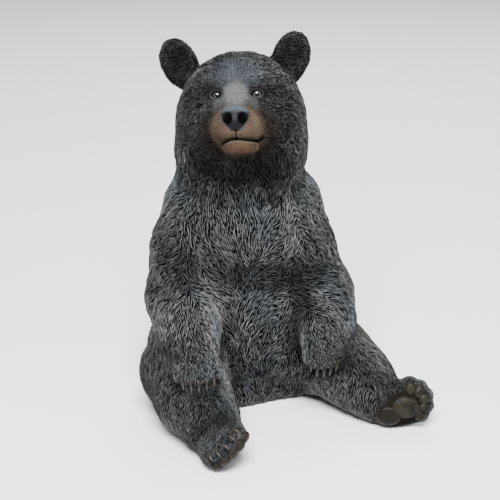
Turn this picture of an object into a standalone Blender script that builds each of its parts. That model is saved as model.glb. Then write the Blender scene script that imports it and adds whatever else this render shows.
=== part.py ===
"""Sitting black bear, cast in resin in one piece.

The bear is modelled the way a clay original is: balls and tapered bars of clay are laid on each
other, joined with Blender's voxel remesh, smoothed over at the joints, cut with creases, combed
with coarse locks of fur and trimmed flat where it sits. Lengths are metres, +Z is up and the chest
faces -Y. The pose and the carving are shares of the bear's own height: one STEP is a 375th of it.
"""

import math

import bmesh
import bpy
import numpy as np
from mathutils import Matrix, Vector
from mathutils.kdtree import KDTree

HEIGHT = 0.375  # from the floor to the tip of the higher ear
STEP = HEIGHT / 375  # a millimetre on the bear at that height


def turned(yaw=0.0, pitch=0.0, roll=0.0):
    """Rotation of a piece with +X its left and -Y its front: first roll, then pitch up, then yaw."""
    return (
        Matrix.Rotation(math.radians(yaw), 3, "Z")
        @ Matrix.Rotation(math.radians(-pitch), 3, "X")
        @ Matrix.Rotation(math.radians(roll), 3, "Y")
    )


class Ball:
    """An egg of clay: its centre, its three half sizes and how it is turned. A cut one is scooped out."""

    def __init__(self, centre, sizes, blend, turn=None, cut=False):
        self.centre = Vector(centre)
        self.sizes = Vector(sizes)
        self.blend = blend
        self.turn = turn or Matrix.Identity(3)
        self.cut = cut
        self.reach = max(sizes)

    def distance(self, points):
        """Signed distance from the egg's skin, near enough: k0 (k0 - 1) / k1 of a scaled ball."""
        own = (points - np.array(self.centre)) @ np.array(self.turn)
        sizes = np.array(self.sizes)
        near = np.linalg.norm(own / sizes, axis=1)
        far = np.linalg.norm(own / sizes**2, axis=1)
        return near * (near - 1) / np.maximum(far, 1e-9)

    def lay(self, bm):
        bmesh.ops.create_uvsphere(bm, u_segments=24, v_segments=14, radius=1)
        place = Matrix.LocRotScale(self.centre * STEP, self.turn, self.sizes * STEP)
        bmesh.ops.transform(bm, verts=bm.verts, matrix=place)


class Bar:
    """A tapered bar of clay with round ends, from one point and half thickness to another."""

    cut = False

    def __init__(self, start, end, blend):
        self.start, self.thick = Vector(start[:3]), start[3]
        self.end, self.thin = Vector(end[:3]), end[3]
        self.blend = blend
        self.centre = (self.start + self.end) / 2
        self.reach = (self.end - self.start).length / 2 + max(self.thick, self.thin)

    def distance(self, points):
        """Signed distance from a cone that rolls off two balls."""
        along = np.array(self.end - self.start)
        length = np.linalg.norm(along)
        along = along / length
        own = points - np.array(self.start)
        run = own @ along
        out = np.linalg.norm(own - run[:, None] * along, axis=1)
        slope = (self.thick - self.thin) / length
        rise = math.sqrt(max(1 - slope * slope, 1e-6))
        foot = np.clip(run + out * slope / rise, 0, length)
        return np.hypot(run - foot, out) - (self.thick - foot * slope)

    def lay(self, bm):
        for centre, size in ((self.start, self.thick), (self.end, self.thin)):
            made = bmesh.ops.create_uvsphere(bm, u_segments=20, v_segments=12, radius=size * STEP)
            bmesh.ops.translate(bm, verts=made["verts"], vec=centre * STEP)
        hull = bmesh.ops.convex_hull(bm, input=bm.verts)
        bmesh.ops.delete(bm, geom=list({*hull["geom_interior"], *hull["geom_unused"]}), context="VERTS")


def smooth_union(first, second, blend):
    """The lesser of two distances, with the crease filled over the width of blend."""
    share = np.clip(0.5 + 0.5 * (second - first) / blend, 0, 1)
    return second + (first - second) * share - blend * share * (1 - share)


class Frame:
    """A place and a rotation that a group of masses is laid in, with spots given as left, front, up."""

    def __init__(self, at, turn):
        self.at = Vector(at)
        self.turn = turn

    def spot(self, left, front, up):
        return self.at + self.turn @ Vector((left, -front, up))

    def own(self, points):
        """Left, front and up of each point."""
        return (points - np.array(self.at)) @ np.array(self.turn) * np.array((1, -1, 1))

    def ball(self, centre, sizes, blend, turn=None, **more):
        turn = self.turn @ turn if turn else self.turn
        return Ball(self.spot(*centre), sizes, blend, turn, **more)

    def bar(self, start, end, blend):
        return Bar((*self.spot(*start[:3]), start[3]), (*self.spot(*end[:3]), end[3]), blend)


class Crease:
    """A groove drawn on a frame's front: a line of (left, up) points, its half width and its depth."""

    def __init__(self, frame, line, width, depth, front):
        self.frame = frame
        self.line = line
        self.width = width
        self.depth = depth
        self.front = front

    def depth_at(self, points):
        """Depth of the groove under each point: a bell over its distance from the line."""
        own = self.frame.own(points)
        flat = own[:, (0, 2)]
        gap = np.full(len(points), 1e9)
        for start, end in zip(self.line, self.line[1:]):
            start, along = np.array(start, float), np.subtract(end, start, dtype=float)
            run = np.clip((flat - start) @ along / (along @ along), 0, 1)
            gap = np.minimum(gap, np.linalg.norm(flat - start - run[:, None] * along, axis=1))
        shown = np.clip((own[:, 1] - self.front) / (4 * self.width), 0, 1)
        return self.depth * np.exp(-((gap / self.width) ** 2)) * shown


def chain(joints, blend):
    return [Bar(a, b, blend) for a, b in zip(joints, joints[1:])]


def torso():
    """Rump, belly, chest, back, neck and tail."""
    return [
        Ball((9, 66, 80), (78, 72, 84), 1),
        Ball((9, 84, 150), (66, 54, 92), 22),
        Ball((7, 48, 176), (64, 58, 60), 24),
        Ball((2, 56, 226), (60, 50, 54), 26),
        Ball((1, 54, 262), (60, 50, 44), 20),
        Ball((-12, 6, 88), (42, 20, 54), 16),
        Ball((34, 6, 88), (38, 20, 54), 16),
        Ball((-40, 66, 44), (52, 62, 50), 22),
        Ball((60, 64, 44), (54, 58, 50), 22),
        Ball((14, 42, 22), (54, 34, 34), 16),
        Ball((-14, 30, 18), (36, 27, 34), 14),
        Ball((9, 136, 42), (11, 14, 14), 8),
    ]


def laid(along, back):
    """Rotation of a paw: its front runs along the paw to the toes and its top out of the furry back."""
    front = Vector(along).normalized()
    up = (Vector(back) - front * front.dot(Vector(back))).normalized()
    return Matrix((front.cross(up), -front, up)).transposed()


RIGHT_HAND = Frame((-66, -66, 76), laid((-0.04, -0.78, -0.62), (-0.1, -0.62, 0.78)))
LEFT_HAND = Frame((65, -38, 74), laid((-0.05, -0.4, -0.92), (0.05, -0.92, 0.4)))
RIGHT_FOOT = Frame((-52, -115, 22), laid((0.04, -0.97, 0.16), (-0.66, -0.05, 0.75)))
LEFT_FOOT = Frame((142, -68, 24), laid((0.88, -0.15, 0.33), (0.3, 0.95, -0.1)))


def right_arm():
    shoulder, upper, elbow = (-42, 54, 202, 34), (-56, 42, 160, 33), (-66, 20, 118, 32)
    lower, wrist = (-66, -18, 100, 29), (-65, -46, 87, 24)
    return [*chain([shoulder, upper, elbow, lower, wrist], 16), *hand(RIGHT_HAND, 1.1)]


def left_arm():
    shoulder, upper, elbow = (52, 54, 200, 33), (62, 42, 156, 31), (80, 18, 114, 27)
    lower, wrist = (76, -10, 95, 26), (69, -29, 84, 23)
    return [*chain([shoulder, upper, elbow, lower, wrist], 16), *hand(LEFT_HAND, 1.0)]


def hand(frame, size):
    """A fore paw: a palm, five short fingers in a row and a curved claw on each."""
    parts = [frame.ball((0, -4, 0), (19 * size, 20, 12), 8)]
    for i in range(5):
        left = (i - 2) * 8 * size
        front = 11 - 1.3 * (i - 2) ** 2
        parts.append(frame.ball((left, front, 1), (4.8 * size, 8.5, 6.5), 3))
        parts.append(frame.bar((left, front + 6, 1, 2.4), (left * 0.97, front + 13, -4, 1.0), 1))
    return parts


def foot(frame, size, splay):
    """A hind paw: heel and ball of the sole, five toes in a bow and a claw on each."""
    parts = [
        frame.ball((0, -13, 0), (19.5 * size, 20 * size, 15), 8),
        frame.ball((0, 4, 0), (22 * size, 20 * size, 13.5), 8),
    ]
    for i in range(5):
        turn = (i - 2) * splay
        left = 16 * size * math.sin(math.radians(turn))
        front = 2 + 17.5 * size * math.cos(math.radians(turn))
        parts.append(frame.ball((left, front, 0), (7.2 * size, 8.8 * size, 10.5), 4, turned(yaw=turn)))
        parts.append(frame.bar((left, front + 2, 9, 2.4), (left * 1.05, front + 8.5, 3.5, 1.2), 1))
    return parts


def right_leg():
    joints = [(-42, 58, 46, 46), (-68, 6, 46, 38), (-66, -44, 38, 34), (-58, -86, 31, 30)]
    return [*chain(joints, 18), *foot(RIGHT_FOOT, 1.15, 26)]


def left_leg():
    joints = [(58, 54, 46, 44), (90, 8, 45, 38), (108, -28, 34, 31), (118, -52, 26, 25)]
    return [*chain(joints, 18), *foot(LEFT_FOOT, 1.03, 32)]


SKULL = Frame((-1.5, 36, 304), turned(yaw=-17, pitch=20, roll=-3))
EYE = (5.4, 5.4, 5.4)  # half sizes of an eye ball
EYE_APART, EYE_FRONT = 18.4, 51.5  # from the middle of the face, and the front of the eye ball


def head():
    """Skull, cheeks, ruff, muzzle with lips and nose, brows, lids and ears."""
    ball, bar = SKULL.ball, SKULL.bar
    parts = [
        ball((0, -2, 4), (57, 54, 52), 12),
        ball((0, 24, 2), (40, 29, 36), 18),
        bar((0, 30, -6, 27), (0, 71, -22.5, 16.5), 16),
        bar((0, 8, -52, 28), (0, 48, -42, 15), 16),
        ball((0, 60, -44.5), (16, 16.5, 9), 9),
        ball((0, 79.5, -16.5), (14.5, 11, 8), 4, turned(pitch=-33)),
        ball((0, 81.5, -27), (8, 6.5, 8), 4),
    ]
    for side in (-1, 1):
        parts += [
            ball((side * 6.5, 81, -20), (8.5, 8, 7.5), 3),
            ball((side * 35, 0, -16), (28, 36, 34), 16),
            ball((side * 35, -8, -44), (26, 34, 30), 18),
            ball((side * 24, 26, -28), (20, 24, 20), 18),
            ball((side * 10.5, 60, -28), (11.5, 21.5, 12), 10),
            ball((side * 19, 36, 17), (15, 13, 8), 8),
            ball((side * EYE_APART, EYE_FRONT - 5, 6), (10, 6.5, 7.5), 4),
        ]
    for left, up, lean in ((-60, 49, -29), (49, 51, 20)):
        turn = turned(yaw=left * 0.25, roll=lean)
        parts.append(ball((left, -10, up - 2), (19, 9.5, 28), 5, turn))
        parts.append(ball((left * 1.02, -1, up), (11.5, 7, 18), 5, turn, cut=True))
    for side in (-1, 1):
        nostril = turned(roll=side * 8)
        opening = turned(roll=-side * 8)
        parts.append(ball((side * 7.4, 90, -20), (4.5, 7, 6.2), 1.5, nostril, cut=True))
        parts.append(ball((side * EYE_APART, EYE_FRONT + 3.5, 6), (6.4, 7.5, 4.2), 2, opening, cut=True))
        parts.append(ball((side * EYE_APART, EYE_FRONT - EYE[1], 6), EYE, 0.3))
    return parts


def creases():
    """Mouth and philtrum."""
    mouth = [(-20, -38.5), (-13, -40.5), (0, -37.5), (15, -40.5), (22, -38), (27, -34)]
    return [
        Crease(SKULL, mouth, 1.6, 2.4, 40),
        Crease(SKULL, [(0, -31), (0, -38)], 1.2, 1.4, 60),
    ]


def clay():
    return [*torso(), *right_arm(), *left_arm(), *right_leg(), *left_leg(), *head()]


MARGIN = 14  # beyond a mass and its blend, in steps, it changes nothing near the skin


class Field:
    """Signed height above the bear's skin, in metres, for points that stay near where they start."""

    def __init__(self, points, masses, grooves):
        own = points / STEP
        self.grooves = grooves
        self.masses = []
        for mass in masses:
            gap = np.linalg.norm(own - np.array(mass.centre), axis=1)
            near = np.nonzero(gap < mass.reach + mass.blend + MARGIN)[0]
            self.masses.append((mass, near))

    def __call__(self, points):
        own = points / STEP
        total = np.full(len(points), 1e3)
        for mass, near in self.masses:
            apart = mass.distance(own[near])
            if mass.cut:
                total[near] = -smooth_union(-total[near], apart, mass.blend)
            else:
                total[near] = smooth_union(total[near], apart, mass.blend)
        for groove in self.grooves:
            total += groove.depth_at(own)
        return np.maximum(total, -own[:, 2]) * STEP


def corners(mesh):
    """Places and outward normals of a mesh's points, as arrays."""
    count = len(mesh.vertices)
    points, normals = np.empty(count * 3, np.float32), np.empty(count * 3, np.float32)
    mesh.vertices.foreach_get("co", points)
    mesh.vertex_normals.foreach_get("vector", normals)
    return points.reshape(count, 3).astype(float), normals.reshape(count, 3).astype(float)


def settle(mesh, masses, grooves, rounds):
    """Each point slides along its normal to where the field is zero."""
    field = Field(corners(mesh)[0], masses, grooves)
    for _ in range(rounds):
        points, normals = corners(mesh)
        value = np.clip(field(points), -5 * STEP, 5 * STEP)
        points -= value[:, None] * normals
        mesh.vertices.foreach_set("co", points.astype(np.float32).ravel())
        mesh.update()


def heap(masses):
    """All the balls and bars of clay as one mesh, still separate bodies that run through each other."""
    whole = bmesh.new()
    for mass in masses:
        if mass.cut:
            continue
        lump = bmesh.new()
        mass.lay(lump)
        mesh = bpy.data.meshes.new("lump")
        lump.to_mesh(mesh)
        lump.free()
        whole.from_mesh(mesh)
        bpy.data.meshes.remove(mesh)
    mesh = bpy.data.meshes.new("bear")
    whole.to_mesh(mesh)
    whole.free()
    return mesh


def remeshed(bear, voxel):
    remesh = bear.modifiers.new("join", "REMESH")
    remesh.mode = "VOXEL"
    remesh.voxel_size = voxel
    graph = bpy.context.evaluated_depsgraph_get()
    joined = bpy.data.meshes.new_from_object(bear.evaluated_get(graph))
    bear.modifiers.clear()
    bear.data = joined
    return joined


class Comb:
    """A line that the fur is combed by: with the line, and away from it to both sides."""

    def __init__(self, start, end, reach, along=0.0, away=0.0):
        self.start = np.array(start, float)
        self.run = np.array(end, float) - self.start
        self.reach = reach
        self.along = along
        self.away = away

    def pull(self, points):
        """(along x the line's direction + away x the direction from the line), fading over the reach."""
        share = np.clip((points - self.start) @ self.run / (self.run @ self.run), 0, 1)
        off = points - self.start - share[:, None] * self.run
        gap = np.linalg.norm(off, axis=1)[:, None]
        way = self.along * self.run / np.linalg.norm(self.run) + self.away * off / np.maximum(gap, 1)
        return way * np.exp(-((gap / self.reach) ** 2))


def combs():
    """The muzzle that the head's fur runs from, the seams of chest and belly, the limbs' partings."""
    nose, brow = SKULL.spot(0, 90, -20), SKULL.spot(0, 30, 0)
    return [
        Comb(nose, brow, 85, away=3.0),
        Comb((-2, -20, 250), (8, -24, 170), 60, away=-0.5),
        Comb((8, -24, 170), (12, -24, 60), 55, away=-1.0),
        Comb((-62, 0, 214), (-66, -14, 128), 42, away=1.8),
        Comb((76, 2, 208), (84, -20, 128), 42, away=1.3),
        Comb((-62, -22, 112), (-50, -60, 66), 30, along=0.5, away=0.9),
        Comb((52, -24, 112), (54, -60, 74), 36, along=0.5, away=1.3),
        Comb((-60, 60, 60), (-58, -100, 40), 45, along=0.9),
        Comb((70, 60, 60), (124, -50, 40), 45, along=0.7),
        Comb((5, 130, 240), (9, 140, 60), 70, away=0.4),
    ]


def flow(points, normals, lines):
    """Which way the fur lies: down, and as the combs pull it, flat on the skin."""
    way = sum(line.pull(points) for line in lines) - np.array((0, 0, 1.0))
    way -= (way * normals).sum(axis=1)[:, None] * normals
    return way / np.maximum(np.linalg.norm(way, axis=1), 1e-6)[:, None]


def scattered(points, apart, rng):
    """Indices of points that stay at least so far apart, taken in a shuffled order."""
    kept, cells = [], {}
    for i in rng.permutation(len(points)):
        cell = tuple(np.floor(points[i] / apart).astype(int))
        close = [k for dx in (-1, 0, 1) for dy in (-1, 0, 1) for dz in (-1, 0, 1)
                 for k in cells.get((cell[0] + dx, cell[1] + dy, cell[2] + dz), ())]
        if all(((points[k] - points[i]) ** 2).sum() >= apart * apart for k in close):
            cells.setdefault(cell, []).append(i)
            kept.append(i)
    return np.array(kept)


LOCK_APART = 13  # between the roots of two locks
LOCK_LENGTH, LOCK_WIDTH, LOCK_RISE = 34, 13, 2.6


def bare(points):
    """1 where the skin is furred and 0 on the face's middle, the eyes, the soles and by the floor."""
    own = SKULL.own(points)
    muzzle = np.linalg.norm((own - (0, 62, -22)) / (30, 44, 34), axis=1)
    own[:, 0] = np.abs(own[:, 0])
    eyes = np.linalg.norm((own - (EYE_APART + 1, 44, 6)) / (14, 12, 11), axis=1)
    shown = np.clip(np.minimum(muzzle, eyes) - 1, 0, 1)
    return np.minimum(shown, np.clip((points[:, 2] - 2) / 6, 0, 1))


def comb_locks(mesh):
    """Locks like shingles: each rises from its root to its pointed tip and is round across."""
    points, normals = corners(mesh)
    points /= STEP
    roots = scattered(points, LOCK_APART, np.random.default_rng(5))
    ways = flow(points[roots], normals[roots], combs())
    tree = KDTree(len(roots))
    for k, root in enumerate(roots):
        tree.insert(points[root] + ways[k] * LOCK_LENGTH / 2, k)
    tree.balance()
    near = np.array([[k for _, k, _ in tree.find_n(point, 9)] for point in points])
    rise = np.zeros(len(points))
    for k in near.T:
        off = points - points[roots[k]]
        run = (off * ways[k]).sum(axis=1) / LOCK_LENGTH
        aside = np.linalg.norm(off - run[:, None] * ways[k] * LOCK_LENGTH, axis=1)
        inside = np.clip(run, 0, 1)
        width = LOCK_WIDTH / 2 * np.sqrt(np.clip(4 * inside * (1 - inside), 0, 1)) ** 0.7
        round_off = 1 - (aside / np.maximum(width, 0.5)) ** 2
        facing = (normals * normals[roots[k]]).sum(axis=1) > 0.2
        rise = np.maximum(rise, np.clip(round_off, 0, 1) * (0.35 + 0.65 * inside) * facing)
    points += ((rise - 0.5) * LOCK_RISE * bare(points))[:, None] * normals
    mesh.vertices.foreach_set("co", (points * STEP).astype(np.float32).ravel())
    mesh.update()


FACES = 9600  # triangles of the finished solid
FINE_COST = 0.006  # what keeps the small triangles of face and paws


def fine_work(points):
    """1 on the face and the paws, whose forms are small, and 0 where the bear is plain."""
    face = np.linalg.norm((SKULL.own(points) - (0, 66, -14)) / (34, 44, 38), axis=1)
    paws = [np.linalg.norm(points - np.array(paw.spot(0, 12, 0)), axis=1) / 30
            for paw in (RIGHT_HAND, LEFT_HAND, RIGHT_FOOT, LEFT_FOOT)]
    return np.clip(3 - 2 * np.minimum(face, np.min(paws, axis=0)), 0, 1)


def thinned(bear):
    """The same surface in large triangles where it is plain and small ones where it turns."""
    plain = bear.vertex_groups.new(name="plain")
    for i, fine in enumerate(fine_work(corners(bear.data)[0] / STEP)):
        plain.add([i], 1 - 0.9 * fine, "REPLACE")
    thin = bear.modifiers.new("thin", "DECIMATE")
    thin.ratio = FACES / sum(len(face.vertices) - 2 for face in bear.data.polygons)
    thin.vertex_group = plain.name
    thin.vertex_group_factor = FINE_COST
    thin.use_collapse_triangulate = True
    graph = bpy.context.evaluated_depsgraph_get()
    mesh = bpy.data.meshes.new_from_object(bear.evaluated_get(graph))
    bear.modifiers.clear()
    bear.data = mesh


def stand(mesh):
    """The underside flat on the floor, and the middle of the bear's box over the origin."""
    points, _ = corners(mesh)
    points[points[:, 2] < 0.5 * STEP, 2] = 0
    points[:, :2] -= (points[:, :2].min(axis=0) + points[:, :2].max(axis=0)) / 2
    mesh.vertices.foreach_set("co", points.astype(np.float32).ravel())
    mesh.update()


def painted(name, colour, roughness):
    material = bpy.data.materials.new(name)
    material.use_nodes = True
    shader = material.node_tree.nodes["Principled BSDF"]
    shader.inputs["Base Color"].default_value = (*colour, 1)
    shader.inputs["Roughness"].default_value = roughness
    shader.inputs["Metallic"].default_value = 0
    return material


def main():
    for obj in list(bpy.data.objects):
        bpy.data.objects.remove(obj)
    masses, grooves = clay(), creases()
    bear = bpy.data.objects.new("bear", heap(masses))
    collection = bpy.data.collections.new("sitting_bear")
    bpy.context.scene.collection.children.link(collection)
    collection.objects.link(bear)
    for voxel, rounds in ((3.0, 5), (2.0, 4)):
        settle(remeshed(bear, voxel * STEP), masses, grooves, rounds)
    comb_locks(bear.data)
    thinned(bear)
    stand(bear.data)
    bear.data.materials.append(painted("painted_resin", (0.035, 0.037, 0.042), 0.6))
    bear.data.shade_smooth()


if __name__ == "__main__":
    main()
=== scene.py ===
"""Sitting black bear, cast in resin in one piece, its coat carved in fine hairs and dry-brushed."""

import math

import bmesh
import bpy
import numpy as np
from mathutils import Matrix, Vector
from mathutils.kdtree import KDTree


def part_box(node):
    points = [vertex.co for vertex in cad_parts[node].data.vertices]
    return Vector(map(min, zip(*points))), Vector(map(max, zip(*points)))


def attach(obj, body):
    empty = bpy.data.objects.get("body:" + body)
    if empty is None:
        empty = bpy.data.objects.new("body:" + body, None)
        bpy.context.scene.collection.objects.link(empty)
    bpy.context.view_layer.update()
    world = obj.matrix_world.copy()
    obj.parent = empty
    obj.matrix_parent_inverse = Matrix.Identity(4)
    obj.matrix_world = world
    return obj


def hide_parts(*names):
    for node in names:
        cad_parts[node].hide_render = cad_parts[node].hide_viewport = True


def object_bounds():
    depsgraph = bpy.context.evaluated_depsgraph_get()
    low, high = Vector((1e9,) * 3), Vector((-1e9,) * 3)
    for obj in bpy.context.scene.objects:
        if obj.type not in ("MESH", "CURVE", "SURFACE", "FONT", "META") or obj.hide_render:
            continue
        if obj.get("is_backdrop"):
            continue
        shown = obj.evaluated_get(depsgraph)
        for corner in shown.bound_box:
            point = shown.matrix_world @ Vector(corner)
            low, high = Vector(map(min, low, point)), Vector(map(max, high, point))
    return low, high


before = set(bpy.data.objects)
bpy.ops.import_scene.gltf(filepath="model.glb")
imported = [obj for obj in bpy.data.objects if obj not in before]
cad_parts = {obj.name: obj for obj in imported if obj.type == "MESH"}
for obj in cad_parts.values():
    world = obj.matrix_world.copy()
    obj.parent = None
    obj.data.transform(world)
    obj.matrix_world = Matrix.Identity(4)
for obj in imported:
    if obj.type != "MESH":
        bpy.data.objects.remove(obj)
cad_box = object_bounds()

# The casting.
# One hollow resin casting with a wall of about 4.5 mm, sitting on its own flat underside. The original
# was modelled in clay, so its form is eggs and tapered bars of clay smoothed into each other.
# Lengths are steps, a millimetre each on a bear 375 mm tall, until a mesh is made in metres.

STEP = 0.001
FAR = 1e3  # farther than any two points of the bear
TINY = 1e-9  # keeps a division off zero
SKIN_STEPS = ((3.0, 5), (2.2, 4))  # sizes of a face on the plain skin, each with its rounds of settling
FEATURE_ROUNDS = 3  # rounds of settling after each refining
SETTLE_AT_MOST = 5  # steps that a point may move in a round
EGG_ROWS, EGG_AROUND = 13, 24
BAR_ROWS, BAR_AROUND = 14, 20


def norms(rows):
    """The length of each row."""
    return np.linalg.norm(rows, axis=1)


def turned(yaw=0.0, pitch=0.0, roll=0.0):
    """Rotation of a piece with +X its left and -Y its front: first roll, then pitch up, then yaw."""
    return np.array(
        Matrix.Rotation(math.radians(yaw), 3, "Z")
        @ Matrix.Rotation(math.radians(-pitch), 3, "X")
        @ Matrix.Rotation(math.radians(roll), 3, "Y")
    )


def ball_grid(rows, around):
    """A unit ball: heights cos(v) and rings of radius sin(v), with one point at each pole."""
    v = np.linspace(0, math.pi, rows + 2)[1:-1, None]
    u = np.linspace(0, 2 * math.pi, around, endpoint=False)[None, :]
    rings = np.stack((np.sin(v) * np.cos(u), np.sin(v) * np.sin(u), np.cos(v) + 0 * u), axis=-1)
    return np.concatenate(([[0, 0, 1]], rings.reshape(-1, 3), [[0, 0, -1]]))


def ring_faces(rows, around):
    """Triangles of a skin over rows of rings with a pole at either end, numbered as ball_grid gives them."""
    i, j = np.meshgrid(np.arange(rows - 1), np.arange(around), indexing="ij")
    here, right = 1 + i * around + j, 1 + i * around + (j + 1) % around
    below, across = here + around, right + around
    sides = np.concatenate((np.stack((here, below, across), -1), np.stack((here, across, right), -1)))
    k = np.arange(around)
    last = 1 + (rows - 1) * around
    top = np.stack((0 * k, 1 + k, 1 + (k + 1) % around), -1)
    foot = np.stack((0 * k + 1 + rows * around, last + (k + 1) % around, last + k), -1)
    return np.concatenate((sides.reshape(-1, 3), top, foot))


class Ball:
    """An egg of clay: its centre, its three half sizes and how it is turned. A cut one is scooped out."""

    def __init__(self, centre, sizes, blend, turn=None, cut=False):
        self.centre, self.sizes = np.array(centre, float), np.array(sizes, float)
        self.turn = np.eye(3) if turn is None else turn
        self.blend, self.cut, self.reach = blend, cut, max(sizes)

    def distance(self, points):
        """Signed distance from the egg's skin, near enough: k0 (k0 - 1) / k1 of a scaled ball."""
        own = (points - self.centre) @ self.turn
        near = norms(own / self.sizes)
        far = norms(own / self.sizes**2)
        return near * (near - 1) / np.maximum(far, TINY)

    def surface(self):
        grid = ball_grid(EGG_ROWS, EGG_AROUND)
        return self.centre + (grid * self.sizes) @ self.turn.T, ring_faces(EGG_ROWS, EGG_AROUND)


class Bar:
    """A tapered bar of clay with round ends, from one point and half thickness to another."""

    cut = False

    def __init__(self, start, end, blend):
        self.start, self.thick = np.array(start[:3], float), start[3]
        self.end, self.thin = np.array(end[:3], float), end[3]
        self.length = np.linalg.norm(self.end - self.start)
        self.along = (self.end - self.start) / self.length
        self.centre, self.blend = (self.start + self.end) / 2, blend
        self.reach = self.length / 2 + max(self.thick, self.thin)

    def distance(self, points):
        """Signed distance from a cone that rolls off two balls."""
        own = points - self.start
        run = own @ self.along
        out = norms(own - run[:, None] * self.along)
        slope = (self.thick - self.thin) / self.length
        rise = math.sqrt(max(1 - slope * slope, TINY))
        foot = np.clip(run + out * slope / rise, 0, self.length)
        return np.hypot(run - foot, out) - (self.thick - foot * slope)

    def surface(self):
        """A ball grid whose upper half is set at the bar's start and whose lower half at its end."""
        grid = ball_grid(BAR_ROWS, BAR_AROUND)
        upper = np.arange(len(grid)) < 1 + BAR_ROWS // 2 * BAR_AROUND
        side = np.cross(self.along, (0.3, 0.5, 0.8))
        side /= np.linalg.norm(side)
        turn = np.stack((side, np.cross(-self.along, side), -self.along), axis=1)
        size = np.where(upper, self.thick, self.thin)[:, None]
        places = np.where(upper[:, None], self.start, self.end) + (grid * size) @ turn.T
        return places, ring_faces(BAR_ROWS, BAR_AROUND)


def smooth_union(first, second, blend):
    """The lesser of two distances, with the crease filled over the width of blend."""
    share = np.clip(0.5 + 0.5 * (second - first) / blend, 0, 1)
    return second + (first - second) * share - blend * share * (1 - share)


class Frame:
    """A place and a rotation that a group of masses is laid in, with spots given as left, front, up."""

    def __init__(self, at, turn):
        self.at, self.turn = np.array(at, float), turn

    def spot(self, left, front, up):
        return self.at + self.turn @ np.array((left, -front, up), float)

    def own(self, points):
        """Left, front and up of each point."""
        return (points - self.at) @ self.turn * np.array((1, -1, 1))

    def placed(self, own):
        """The points that have these left, front and up."""
        return self.at + (own * (1, -1, 1)) @ self.turn.T

    def ball(self, centre, sizes, blend, turn=None, **more):
        return Ball(self.spot(*centre), sizes, blend, self.turn if turn is None else self.turn @ turn, **more)

    def bar(self, start, end, blend):
        return Bar((*self.spot(*start[:3]), start[3]), (*self.spot(*end[:3]), end[3]), blend)


class Crease:
    """A groove drawn on a frame's front: a line of (left, up) points, its half width and its depth."""

    def __init__(self, line, width, depth, front):
        self.line, self.width, self.depth, self.front = np.array(line, float), width, depth, front

    def share(self, own, width):
        """1 on the line and 0 well off it: exp(-(gap / width)^2), the gap as seen from the front, and
        faded out within four widths behind the front."""
        gap = np.full(len(own), FAR)
        for start, end in zip(self.line, self.line[1:]):
            run = np.clip((own[:, (0, 2)] - start) @ (end - start) / ((end - start) @ (end - start)), 0, 1)
            off = own[:, (0, 2)] - start - run[:, None] * (end - start)
            gap = np.minimum(gap, norms(off))
        return np.exp(-((gap / width) ** 2)) * np.clip((own[:, 1] - self.front) / (4 * self.width), 0, 1)


def laid(along, back):
    """Rotation of a paw: its front runs along the paw to the toes and its top out of the furry back."""
    front = np.array(along, float) / np.linalg.norm(along)
    up = np.array(back, float) - front * (front @ back)
    up /= np.linalg.norm(up)
    return np.stack((np.cross(front, up), -front, up), axis=1)


SKULL = Frame((-1.5, 36, 304), turned(yaw=-17, pitch=20, roll=-3))
RIGHT_HAND = Frame((-66, -66, 76), laid((-0.04, -0.78, -0.62), (-0.1, -0.62, 0.78)))
LEFT_HAND = Frame((65, -38, 74), laid((-0.05, -0.4, -0.92), (0.05, -0.92, 0.4)))
RIGHT_FOOT = Frame((-52, -115, 22), laid((0.04, -0.97, 0.16), (-0.66, -0.05, 0.75)))
LEFT_FOOT = Frame((142, -68, 24), laid((0.88, -0.15, 0.33), (0.3, 0.95, -0.1)))
HANDS = ((RIGHT_HAND, 1.1), (LEFT_HAND, 1.0))
FEET = ((RIGHT_FOOT, 1.15, 26), (LEFT_FOOT, 1.03, 32))  # each with its size and the splay of its toes


def chain(joints, blend):
    return [Bar(a, b, blend) for a, b in zip(joints, joints[1:])]


torso = [Ball(*egg) for egg in (
    ((9, 66, 80), (78, 72, 84), 1),
    ((9, 84, 150), (66, 54, 92), 22),
    ((7, 48, 176), (64, 58, 60), 24),
    ((2, 56, 226), (60, 50, 54), 26),
    ((1, 54, 262), (60, 50, 44), 20),
    ((-12, 6, 88), (42, 20, 54), 16),
    ((34, 6, 88), (38, 20, 54), 16),
    ((-40, 66, 44), (52, 62, 50), 22),
    ((60, 64, 44), (54, 58, 50), 22),
    ((14, 42, 22), (54, 34, 34), 16),
    ((-14, 30, 18), (36, 27, 34), 14),
    ((9, 136, 42), (11, 14, 14), 8),
)]
ARM_BLEND, LEG_BLEND = 16, 18
RIGHT_ARM = (
    (-42, 54, 202, 34), (-56, 42, 160, 33), (-66, 20, 118, 32), (-66, -18, 100, 29), (-65, -46, 87, 24)
)
LEFT_ARM = ((52, 54, 200, 33), (62, 42, 156, 31), (80, 18, 114, 27), (76, -10, 95, 26), (69, -29, 84, 23))
RIGHT_LEG = ((-42, 58, 46, 46), (-68, 6, 46, 38), (-66, -44, 38, 34), (-58, -86, 31, 30))
LEFT_LEG = ((58, 54, 46, 44), (90, 8, 45, 38), (108, -28, 34, 31), (118, -52, 26, 25))
limbs = chain(RIGHT_ARM, ARM_BLEND) + chain(LEFT_ARM, ARM_BLEND)
limbs += chain(RIGHT_LEG, LEG_BLEND) + chain(LEFT_LEG, LEG_BLEND)
BOW_LEFT, BOW_FRONT, BOW_AHEAD = 16, 17.5, 2  # half width and depth of the toes' bow, and how far on it is


def aimed(turn):
    """Sine and cosine of a turn in degrees."""
    return math.sin(math.radians(turn)), math.cos(math.radians(turn))


def toe_spots(size, splay):
    """Left, front and turn of the five toes of a hind paw, in a bow about its ball."""
    spots = []
    for turn in (i * splay for i in range(-2, 3)):
        sine, cosine = aimed(turn)
        spots.append((BOW_LEFT * size * sine, BOW_AHEAD + BOW_FRONT * size * cosine, turn))
    return spots


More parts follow.
